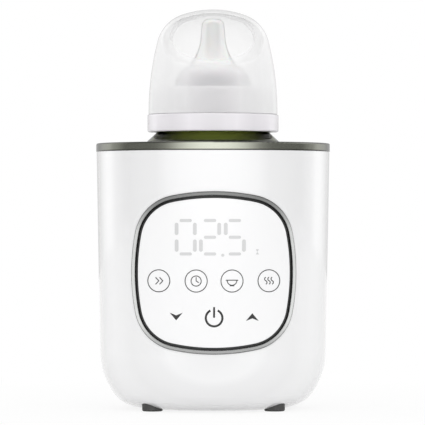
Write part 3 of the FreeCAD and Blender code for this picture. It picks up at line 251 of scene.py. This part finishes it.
def make_finishes():
    white = (0.93, 0.93, 0.935)
    return {
        "shell_white": finish("shell_white", white, 0.2, depth=0.02, tone=0.004, Coat_Weight=1.0,
                              Coat_Roughness=0.05, IOR=1.5),
        "cover_white": finish("cover_white", (0.87, 0.87, 0.875), 0.24, depth=0.03, tone=0.004, IOR=1.5),
        "panel_white": finish("panel_white", (0.94, 0.94, 0.945), 0.1, spread=0.01, depth=0.01, tone=0.004, IOR=1.5,
                              Coat_Weight=0.4, Coat_Roughness=0.04),
        "ring_metal": finish("ring_metal", (0.4, 0.41, 0.35), 0.17, spread=0.05, scale=260, depth=0.03,
                             stretch=(1, 1, 30), tone=0.1, Metallic=1.0),
        "trim_metal": finish("trim_metal", (0.8, 0.81, 0.8), 0.16, spread=0.03, scale=500, depth=0.02, tone=0.05,
                             Metallic=0.45),
        "foot_rubber": finish("foot_rubber", (0.06, 0.06, 0.058), 0.7, spread=0.1, scale=1200, depth=0.25),
        "gland_rubber": finish("gland_rubber", (0.6, 0.6, 0.6), 0.6, spread=0.1, scale=1200, depth=0.2),
        "gasket_silicone": finish("gasket_silicone", (0.5, 0.5, 0.48), 0.5, Subsurface_Weight=0.3,
                                  Subsurface_Scale=0.002),
        "screw_steel": finish("screw_steel", (0.55, 0.55, 0.53), 0.35, spread=0.12, scale=700, Metallic=1.0),
        "well_coating": finish("well_coating", (0.035, 0.035, 0.036), 0.42, spread=0.1, scale=1800, depth=0.35,
                               tone=0.3, Metallic=0.0, IOR=1.45),
        "heater_aluminium": finish("heater_aluminium", (0.6, 0.6, 0.6), 0.42, spread=0.15, scale=500, depth=0.2,
                                   Metallic=1.0),
        "heater_film": finish("heater_film", (0.5, 0.22, 0.04), 0.25, spread=0.05, IOR=1.6),
        "inner_plastic": finish("inner_plastic", (0.08, 0.08, 0.08), 0.55, spread=0.1, depth=0.2),
        "sensor_case": finish("sensor_case", (0.5, 0.5, 0.48), 0.3, spread=0.1, scale=600, Metallic=1.0),
        "circuit_board": finish("circuit_board", (0.012, 0.11, 0.045), 0.3, spread=0.08, scale=300, depth=0.1,
                                tone=0.25),
        "winding_tape": finish("winding_tape", (0.62, 0.46, 0.05), 0.35, scale=400, stretch=(1, 1, 8), depth=0.2),
        "relay_case": finish("relay_case", (0.02, 0.06, 0.22), 0.4, depth=0.1),
        "capacitor_can": finish("capacitor_can", (0.02, 0.02, 0.03), 0.3, depth=0.05),
        "terminal_case": finish("terminal_case", (0.02, 0.15, 0.05), 0.45, depth=0.1),
        "led_case": finish("led_case", (0.01, 0.01, 0.01), 0.5, depth=0.15),
        "key_foam": finish("key_foam", (0.02, 0.02, 0.02), 0.85, scale=2500, depth=0.6),
        "bottle_clear": finish("bottle_clear", (0.38, 0.42, 0.17), 0.06, spread=0.02, depth=0.01, tone=0.02,
                               Transmission_Weight=1.0, IOR=1.5, Specular_Tint=(0.2, 0.2, 0.17, 1)),
        "teat_silicone": finish("teat_silicone", (0.7, 0.69, 0.68), 0.3, spread=0.05, depth=0.05,
                                Subsurface_Weight=0.2, Subsurface_Scale=0.002),
        "collar_white": finish("collar_white", (0.95, 0.925, 0.96), 0.2, depth=0.02, tone=0.004, Coat_Weight=0.2,
                               Coat_Roughness=0.08),
        "cap_frosted": finish("cap_frosted", (0.93, 0.93, 0.925), 0.25, scale=1500, IOR=1.45,
                              Specular_IOR_Level=0.3),
    }


def tint_over(material, tint):
    """Multiply the finish's base colour by the given colour socket."""
    tree = material.node_tree
    shader = tree.nodes["Principled BSDF"]
    base = shader.inputs["Base Color"].links[0].from_socket
    tree.links.new(blend(tree, 1.0, base, tint, "MULTIPLY"), shader.inputs["Base Color"])


def near_edge(tree, radius):
    """0 on open faces, rising where a sharp edge lies within the given radius."""
    soft = tree.nodes.new("ShaderNodeBevel")
    soft.samples = 6
    soft.inputs["Radius"].default_value = radius
    plain = tree.nodes.new("ShaderNodeNewGeometry")
    match = vector_node(tree, "DOT_PRODUCT", soft.outputs["Normal"], plain.outputs["Normal"])
    return math_node(tree, "SUBTRACT", 1.0, match.outputs["Value"])


# Trim: painted shade over the plating, by its share of the depth about the shell's face, by its height, and at its
# edges.
TRIM_DEPTH = 2 * MM
TRIM_PAINTED_SHADE = ((0.0, 0.1), (1.0, 1.0), (0.52, 0.14), (0.56, 1.0))
TRIM_HEIGHT_PAINTED_SHADE = ((0.0, 0.45), (1.0, 0.22), (0.03, 0.5), (0.2, 1.0), (0.75, 1.0), (0.9, 0.45))
TRIM_EDGE_PAINTED_SHADE = ((0, 1.0), (1, 0.02), (0.01, 1.0), (0.04, 0.08))
TRIM_EDGE_REACH = 0.7 * MM


def shade_trim(material):
    """Painted shade over the plated band: bright on its raised face and nearly black low down, beside the shell and in
    its groove; darker towards its top and bottom, and dark along its sharp edges.
    """
    tree = material.node_tree
    flat = vector_node(tree, "MULTIPLY", own_place(tree), (1, 1, 0))
    reach = vector_node(tree, "LENGTH", flat.outputs[0])
    wall = math_node(tree, "MULTIPLY_ADD", split_place(tree)["Z"], -SIDE_SLOPE,
                     SHELL_HIGH.z * SIDE_SLOPE - SHELL_HIGH.x)
    proud = math_node(tree, "ADD", reach.outputs["Value"], wall)
    share = math_node(tree, "MULTIPLY_ADD", proud, 1 / TRIM_DEPTH, 0.5)
    # painted shade: dark in the groove and beside the shell, darker at top and bottom, dark lines at the sharp edges
    tint_over(material, ramp(tree, share, TRIM_PAINTED_SHADE))
    tint_over(material, ramp(tree, height_between(tree, TRIM_LOW.z, TRIM_HIGH.z, "LINEAR"), TRIM_HEIGHT_PAINTED_SHADE))
    tint_over(material, ramp(tree, near_edge(tree, TRIM_EDGE_REACH), TRIM_EDGE_PAINTED_SHADE))


# Painted light and shade on a finish, from where it faces the eye (0) to where it is seen edge on (1).
EDGE_PAINTED_LIGHT = {
    # tinted walls darkest where the eye meets them edge on: partly the longer path through the tint, partly painted
    # shade at the outline
    "bottle_clear": ((0, 1.0), (1, 0.01), (0.25, 0.8), (0.42, 0.4), (0.6, 0.1)),
    # clear lacquer over white, with painted sheen and shade: paler bands along the flanks
    "shell_white": ((0, 0.92), (1, 0.9), (0.04, 0.97), (0.08, 0.99), (0.13, 0.945), (0.3, 0.94), (0.4, 0.98),
                    (0.5, 1.0), (0.6, 0.98), (0.75, 0.9)),
    # painted shade: the bright rim darkens towards its ends
    "ring_metal": ((0, 1.0), (1, 0.06), (0.36, 1.0), (0.48, 0.56), (0.7, 0.46), (0.8, 0.2)),
    # moulded gloss with painted reflection and shade: soft upright bands of light round the band, darker where it
    # faces the eye
    "collar_white": ((0, 0.79), (1, 0.9), (0.02, 0.86), (0.07, 0.96), (0.13, 0.93), (0.22, 0.91), (0.34, 0.97),
                     (0.5, 1.0)),
}
# painted shade: a dark line at the rim's lower and upper lips
LIP_PAINTED_SHADE = ((0, 0.2), (1, 0.3), (0.12, 0.3), (0.18, 1.0), (0.84, 1.0), (0.91, 0.4))


def shade_ring_lips(material):
    """A thin line of painted shade at the lower and the upper lip of the bright rim."""
    low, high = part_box("top_ring")
    tree = material.node_tree
    tint_over(material, ramp(tree, height_between(tree, low.z, high.z, "LINEAR"), LIP_PAINTED_SHADE))


def shade_finishes():
    """Lay over the plain finishes the painted light and shade, and the cap's milk, that change with height, edges and
    the side that faces the eye.
    """
    shade_trim(FINISHES["trim_metal"])
    shade_ring_lips(FINISHES["ring_metal"])
    for name, painted_tones in EDGE_PAINTED_LIGHT.items():
        tree = FINISHES[name].node_tree
        tint_over(FINISHES[name], ramp(tree, edge_on(tree), painted_tones))
    shade_cap(FINISHES["cap_frosted"])
    shade_teat(FINISHES["teat_silicone"])


FINISHES = make_finishes()


def dress_frame():
    """Give each node of the frame the finish that its slot names."""
    for row in frame["record"]["subparts"]:
        node = frame["nodes"][row["node"]]
        node.data.materials.clear()
        node.data.materials.append(FINISHES[row["material_slot"]])


# ---------------------------------------------------------------- marks on the panel

INK_LIFT = 0.04 * MM        # thickness of the ink
INK_STEP = 0.8 * MM         # width of the strips that follow the curved front
END_ROUNDING = 0.49         # share of a stroke's width that rounds its ends
CIRCLE_STEPS = 72
STAND_UP = Matrix.Rotation(math.pi / 2, 3, "X")

GREY_LIGHT = finish("digit_grey", (0.66, 0.66, 0.665), 0.25, spread=0.01, depth=0.0, tone=0.01)
GREY_LINE = finish("line_grey", (0.025, 0.025, 0.025), 0.3, spread=0.01, depth=0.0, tone=0.02)
GREY_DARK = finish("icon_dark", (0.008, 0.008, 0.008), 0.3, spread=0.01, depth=0.0, tone=0.02)


def shell_front(x, z):
    """Depth of the round front at a place across and up."""
    radius = SHELL_HIGH.x - (SHELL_HIGH.z - z) * SIDE_SLOPE
    return -math.sqrt(radius * radius - x * x)


def flat_stroke(mesh, start, end, width):
    """A straight stroke of the pen with round ends."""
    way = Vector((end[0] - start[0], 0, end[1] - start[1]))
    made = bmesh.ops.create_grid(mesh, x_segments=1, y_segments=1, size=0.5)["verts"]
    bmesh.ops.scale(mesh, vec=(way.length + width, width, 1), verts=made)
    bmesh.ops.rotate(mesh, cent=(0, 0, 0), matrix=STAND_UP, verts=made)
    bmesh.ops.rotate(mesh, cent=(0, 0, 0), matrix=Matrix.Rotation(-math.atan2(way.z, way.x), 3, "Y"), verts=made)
    bmesh.ops.translate(mesh, vec=((start[0] + end[0]) / 2, 0, (start[1] + end[1]) / 2), verts=made)
    bmesh.ops.bevel(mesh, geom=made, affect="VERTICES", offset=width * END_ROUNDING, offset_type="OFFSET",
                    segments=6, profile=0.5, material=-1)


def flat_triangle(mesh, x, z, half_width, half_height, way):
    """A triangle with its point up (1) or down (-1)."""
    made = bmesh.ops.create_circle(mesh, cap_ends=True, segments=3, radius=1)["verts"]
    bmesh.ops.rotate(mesh, cent=(0, 0, 0), matrix=STAND_UP, verts=made)
    top, low = max(vert.co.z for vert in made), min(vert.co.z for vert in made)
    wide = max(vert.co.x for vert in made)
    bmesh.ops.translate(mesh, vec=(0, 0, -(top + low) / 2), verts=made)
    bmesh.ops.scale(mesh, vec=(half_width / wide, 1, way * half_height * 2 / (top - low)), verts=made)
    bmesh.ops.translate(mesh, vec=(x, 0, z), verts=made)
    return made


def flat_arc(mesh, middle, radius, width, first=0.0, last=360.0, steps=CIRCLE_STEPS):
    """A band of a circle, angles in degrees from the right, anticlockwise."""
    inner = mesh.verts.new((middle[0] + radius - width / 2, 0, middle[1]))
    outer = mesh.verts.new((middle[0] + radius + width / 2, 0, middle[1]))
    edge = mesh.edges.new((inner, outer))
    centre = Vector((middle[0], 0, middle[1]))
    bmesh.ops.rotate(mesh, cent=centre, matrix=Matrix.Rotation(-math.radians(first), 3, "Y"), verts=[inner, outer])
    bmesh.ops.spin(mesh, geom=[inner, outer, edge], cent=centre, axis=(0, -1, 0),
                   angle=math.radians(last - first), steps=steps, use_merge=last - first >= 360)


def new_piece(name, mesh, material):
    """An object at the origin from the finished bmesh."""
    data = bpy.data.meshes.new(name)
    mesh.to_mesh(data)
    mesh.free()
    data.materials.append(material)
    piece = bpy.data.objects.new(name, data)
    bpy.context.collection.objects.link(piece)
    return piece


def lay_on_shell(name, draw, ink):
    """Ink drawn flat by the given function, cut fine enough to follow the curved front, given a skin of ink."""
    mesh = bmesh.new()
    draw(mesh)
    low, high = min(vert.co.x for vert in mesh.verts), max(vert.co.x for vert in mesh.verts)
    for step in range(1, int((high - low) / INK_STEP) + 1):
        bmesh.ops.bisect_plane(mesh, geom=mesh.verts[:] + mesh.edges[:] + mesh.faces[:],
                               plane_co=(low + step * INK_STEP, 0, 0), plane_no=(1, 0, 0))
    for vert in mesh.verts:
        vert.co.y = shell_front(vert.co.x, vert.co.z)
    bmesh.ops.recalc_face_normals(mesh, faces=mesh.faces)
    if sum(face.normal.y for face in mesh.faces) > 0:
        bmesh.ops.reverse_faces(mesh, faces=mesh.faces)
    base = mesh.faces[:]
    made = bmesh.ops.extrude_face_region(mesh, geom=base)
    for vert in [item for item in made["geom"] if isinstance(item, bmesh.types.BMVert)]:
        outward = Vector((vert.co.x, vert.co.y, 0)).normalized()
        vert.co += outward * INK_LIFT
    bmesh.ops.delete(mesh, geom=base, context="FACES")
    piece = new_piece(name, mesh, ink)
    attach(piece, "warmer")


# figures of seven bars: three rows of level bars, and uprights between them
ROW_PITCH = 8.25 * MM
ROW_LOW = PANEL_MIDDLE + 9.35 * MM
UPRIGHT_SIDE = 4.5 * MM
UPRIGHT_WIDTH = 1.85 * MM
LEVEL_WIDTH = 1.5 * MM
BAR_LENGTH = 6.05 * MM
FIGURE_CENTRES = (-14.0 * MM, -2.0 * MM, 10.25 * MM)
POINT_X, POINT_Z = 4.3 * MM, ROW_LOW - 0.6 * MM
POINT_HALF = 0.05 * MM
# lit bars of each figure, by row of level bars and by side and row of upright bars
FIGURES = {
    "0": ((0, 2), ((-1, 0), (-1, 1), (1, 0), (1, 1))),
    "2": ((0, 1, 2), ((-1, 0), (1, 1))),
    "5": ((0, 1, 2), ((1, 0), (-1, 1))),
}


def draw_figure(mesh, figure, centre):
    level_rows, uprights = FIGURES[figure]
    level_half = (BAR_LENGTH - LEVEL_WIDTH) / 2
    upright_half = (BAR_LENGTH - UPRIGHT_WIDTH) / 2
    for row in level_rows:
        z = ROW_LOW + row * ROW_PITCH
        flat_stroke(mesh, (centre - level_half, z), (centre + level_half, z), LEVEL_WIDTH)
    for side, row in uprights:
        x, z = centre + side * UPRIGHT_SIDE, ROW_LOW + (row + 0.5) * ROW_PITCH
        flat_stroke(mesh, (x, z - upright_half), (x, z + upright_half), UPRIGHT_WIDTH)


def draw_digits(mesh):
    for figure, centre in zip("025", FIGURE_CENTRES):
        draw_figure(mesh, figure, centre)
    flat_stroke(mesh, (POINT_X - POINT_HALF, POINT_Z), (POINT_X + POINT_HALF, POINT_Z), LEVEL_WIDTH)


KEY_CENTRES = (-27.3 * MM, -8.85 * MM, 8.85 * MM, 27.2 * MM)
KEY_HEIGHT = PANEL_MIDDLE - 4 * MM
KEY_RADIUS = 5.45 * MM
KEY_RING_WIDTH = 0.44 * MM
ICON_WIDTH = 0.45 * MM
SET_HEIGHT = PANEL_MIDDLE - 21.9 * MM
POWER_RADIUS = 4.1 * MM
POWER_WIDTH = 1.05 * MM
POWER_SPAN = (116, 424)     # degrees from the right, anticlockwise, so that the ring is open at the top
ARROW_LEFT, ARROW_RIGHT = -18.7 * MM, 18.9 * MM
ARROW_HALF_WIDTH = 3.2 * MM
ARROW_HALF_HEIGHT = 1.9 * MM
ARROW_HOLLOW = 1.3 * MM
TIME_MARK_X, TIME_MARK_Z = 21.4 * MM, ROW_LOW + 1 * MM


def draw_key_rings(mesh):
    for x in KEY_CENTRES:
        flat_arc(mesh, (x, KEY_HEIGHT), KEY_RADIUS, KEY_RING_WIDTH)


def draw_key_icons(mesh):
    """Quick heat, keep warm, food and steam, each as a small line drawing."""
    line, z = ICON_WIDTH, KEY_HEIGHT
    fast, clock, food, steam = KEY_CENTRES
    for shift in (-1.5 * MM, 0.5 * MM):
        x = fast + shift
        flat_stroke(mesh, (x, z + 1.6 * MM), (x + 1.5 * MM, z), line)
        flat_stroke(mesh, (x + 1.5 * MM, z), (x, z - 1.6 * MM), line)
    flat_arc(mesh, (clock, z), 2.5 * MM, line, steps=40)
    flat_stroke(mesh, (clock, z), (clock, z + 1.7 * MM), line)
    flat_stroke(mesh, (clock, z), (clock + 1.2 * MM, z - 0.7 * MM), line)
    flat_arc(mesh, (food, z + 0.3 * MM), 2.4 * MM, line, 180, 359.9, steps=30)
    flat_stroke(mesh, (food - 2.9 * MM, z + 0.4 * MM), (food + 2.9 * MM, z + 0.4 * MM), line)
    flat_stroke(mesh, (food - 0.9 * MM, z - 2.35 * MM), (food + 0.9 * MM, z - 2.35 * MM), line)
    for shift in (-1.6 * MM, 0, 1.6 * MM):
        flat_arc(mesh, (steam + shift + 0.35 * MM, z + 0.9 * MM), 0.9 * MM, line, 110, 250, steps=12)
        flat_arc(mesh, (steam + shift - 0.27 * MM, z - 0.8 * MM), 0.9 * MM, line, -70, 70, steps=12)


def draw_power_icon(mesh):
    flat_arc(mesh, (0.0, SET_HEIGHT - 0.35 * MM), POWER_RADIUS, POWER_WIDTH, *POWER_SPAN, steps=60)
    flat_stroke(mesh, (0.0, SET_HEIGHT + 0.2 * MM), (0.0, SET_HEIGHT + 4.65 * MM), 0.95 * MM)


def draw_arrow(mesh, x, z, way):
    """A broad arrowhead with a hollow foot."""
    made = flat_triangle(mesh, x, z, ARROW_HALF_WIDTH, ARROW_HALF_HEIGHT, way)
    base = z - way * ARROW_HALF_HEIGHT
    foot = [edge for edge in mesh.edges
            if all(vert in made and abs(vert.co.z - base) < 0.01 * MM for vert in edge.verts)]
    split = bmesh.ops.subdivide_edges(mesh, edges=foot, cuts=1)["geom_inner"]
    bmesh.ops.translate(mesh, vec=(0, 0, way * ARROW_HOLLOW), verts=split)


def draw_arrows(mesh):
    draw_arrow(mesh, ARROW_LEFT, SET_HEIGHT + 0.3 * MM, -1)
    draw_arrow(mesh, ARROW_RIGHT, SET_HEIGHT, 1)


def draw_time_mark(mesh):
    """A tiny hourglass beside the figures."""
    for way in (-1, 1):
        flat_triangle(mesh, TIME_MARK_X, TIME_MARK_Z + way * 0.62 * MM, 0.8 * MM, 0.65 * MM, -way)


def mark_panel():
    lay_on_shell("panel_digits", draw_digits, GREY_LIGHT)
    lay_on_shell("time_mark", draw_time_mark, GREY_LIGHT)
    lay_on_shell("key_rings", draw_key_rings, GREY_LINE)
    lay_on_shell("key_icons", draw_key_icons, GREY_LINE)
    lay_on_shell("power_icon", draw_power_icon, GREY_DARK)
    lay_on_shell("set_arrows", draw_arrows, GREY_LINE)


# ---------------------------------------------------------------- studio

ROOM_LIGHT = 0.8
FLOOR_HALF = 15.0
SHADOW_REACH = (0.05, 0.3)  # the soft shadow shows up to the first reach and has gone at the second
FLOOR_WHITE = 0.85          # share of plain white in the floor beside the object
WALL_RADIUS = 3.0
WALL_HEIGHT = 4.0
WALL_LIFT = 1 * MM
WALL_PEAK = 2.2
# brightness of the wall by the angle round from the front
WALL_LEVELS = ((0, 2.2), (180, 0.55), (12, 2.1), (24, 1.7), (34, 1.15), (46, 0.45), (58, 0.2), (98, 0.19),
               (112, 0.8), (123, 1.5), (134, 1.3), (148, 0.85))
CAMERA_LENS = 290.7
CAMERA_DISTANCE = 1750 * MM
CAMERA_HEIGHT = 99.65 * MM
CAMERA_ASIDE = 0.26 * MM
CAMERA_TURN = math.radians(0.52)

def seen_directly(tree):
    """1 for rays of the camera and for those of metal and glass, 0 for the light on the object."""
    ray = tree.nodes.new("ShaderNodeLightPath").outputs
    metal = math_node(tree, "MAXIMUM", ray["Is Camera Ray"], ray["Is Glossy Ray"])
    return math_node(tree, "MAXIMUM", metal, ray["Is Transmission Ray"])


def show_white(tree, share, lit, target, kind):
    """Mix plain white over the lit surface by the given share."""
    nodes, links = tree.nodes, tree.links
    white = nodes.new(kind)
    white.inputs["Color"].default_value = (1, 1, 1, 1)
    white.inputs["Strength"].default_value = 1
    mix = nodes.new("ShaderNodeMixShader")
    links.new(share, mix.inputs[0])
    links.new(lit, mix.inputs[1])
    links.new(white.outputs[0], mix.inputs[2])
    links.new(mix.outputs[0], target.inputs["Surface"])


def make_world():
    world = bpy.data.worlds.new("studio")
    bpy.context.scene.world = world
    world.use_nodes = True
    tree = world.node_tree
    room = tree.nodes["Background"]
    room.inputs["Color"].default_value = (1, 1, 1, 1)
    room.inputs["Strength"].default_value = ROOM_LIGHT
    show_white(tree, seen_directly(tree), room.outputs[0], tree.nodes["World Output"], "ShaderNodeBackground")


def make_floor():
    """Pale floor that keeps the soft shadow near the object and runs out into the white backdrop."""
    mesh = bmesh.new()
    bmesh.ops.create_grid(mesh, x_segments=1, y_segments=1, size=FLOOR_HALF)
    material = bpy.data.materials.new("floor_white")
    material.use_nodes = True
    floor = new_piece("floor", mesh, material)
    tree = material.node_tree
    tree.nodes["Principled BSDF"].inputs["Base Color"].default_value = (0.9, 0.9, 0.9, 1)
    tree.nodes["Principled BSDF"].inputs["Roughness"].default_value = 0.9
    reach = vector_node(tree, "LENGTH", own_place(tree))
    fade = tree.nodes.new("ShaderNodeMapRange")
    for socket, value in (("From Min", SHADOW_REACH[0]), ("From Max", SHADOW_REACH[1]), ("To Min", FLOOR_WHITE)):
        fade.inputs[socket].default_value = value
    tree.links.new(reach.outputs["Value"], fade.inputs["Value"])
    share = math_node(tree, "MULTIPLY", fade.outputs["Result"], seen_directly(tree))
    show_white(tree, share, tree.nodes["Principled BSDF"].outputs[0], tree.nodes["Material Output"],
               "ShaderNodeEmission")


def soft_light(name, place, aim, size, level, glossy=True):
    """A soft box of the given size whose face has the given brightness."""
    lamp = bpy.data.lights.new(name, "AREA")
    lamp.shape = "RECTANGLE"
    lamp.size, lamp.size_y = size
    lamp.energy = level * math.pi * size[0] * size[1]
    light = bpy.data.objects.new(name, lamp)
    bpy.context.collection.objects.link(light)
    light.location = place
    light.rotation_euler = (Vector(aim) - Vector(place)).to_track_quat("-Z", "Y").to_euler()
    light.visible_camera = False
    light.visible_glossy = glossy


def reflection_wall():
    """A round wall of paper, light in front, dark at the sides, that shines back only in metal and gloss."""
    mesh = bmesh.new()
    bmesh.ops.create_cone(mesh, cap_ends=False, segments=96, radius1=WALL_RADIUS, radius2=WALL_RADIUS,
                          depth=WALL_HEIGHT)
    bmesh.ops.translate(mesh, vec=(0, 0, WALL_HEIGHT / 2 + WALL_LIFT), verts=mesh.verts)
    material = bpy.data.materials.new("wall_paper")
    material.use_nodes = True
    tree = material.node_tree
    shader = tree.nodes["Principled BSDF"]
    shader.inputs["Base Color"].default_value = (0, 0, 0, 1)
    shader.inputs["Roughness"].default_value = 1
    shader.inputs["Emission Strength"].default_value = WALL_PEAK
    place = split_place(tree)
    aside = math_node(tree, "ABSOLUTE", place["X"])
    ahead = math_node(tree, "MULTIPLY", place["Y"], -1)
    half_turns = math_node(tree, "DIVIDE", math_node(tree, "ARCTAN2", aside, ahead), math.pi)
    levels = ramp(tree, half_turns, [(angle / 180, level / WALL_PEAK) for angle, level in WALL_LEVELS])
    tree.links.new(levels, shader.inputs["Emission Color"])
    wall = new_piece("reflection_wall", mesh, material)
    wall.visible_camera = wall.visible_diffuse = wall.visible_shadow = wall.visible_transmission = False


def make_studio():
    make_world()
    make_floor()
    soft_light("front_soft_box", place=(0, -2.2, 0.4), aim=(0, -1.2, 0.4), size=(2.2, 1.5), level=1.22,
               glossy=False)
    soft_light("top_soft_box", place=(0, -0.3, 2.0), aim=(0, 0, 0.1), size=(1.6, 1.6), level=0.8)
    reflection_wall()


def place_camera():
    camera_data = bpy.data.cameras.new("camera")
    camera_data.sensor_width = 36
    camera_data.lens = CAMERA_LENS
    camera = bpy.data.objects.new("camera", camera_data)
    bpy.context.collection.objects.link(camera)
    camera.location = (-CAMERA_DISTANCE * math.sin(CAMERA_TURN) - CAMERA_ASIDE,
                       -CAMERA_DISTANCE * math.cos(CAMERA_TURN), CAMERA_HEIGHT)
    camera.rotation_euler = (math.radians(90), 0, -CAMERA_TURN)
    bpy.context.scene.camera = camera


shade_finishes()
dress_frame()
mark_panel()
make_studio()
place_camera()
bpy.context.scene.view_settings.view_transform = "Standard"
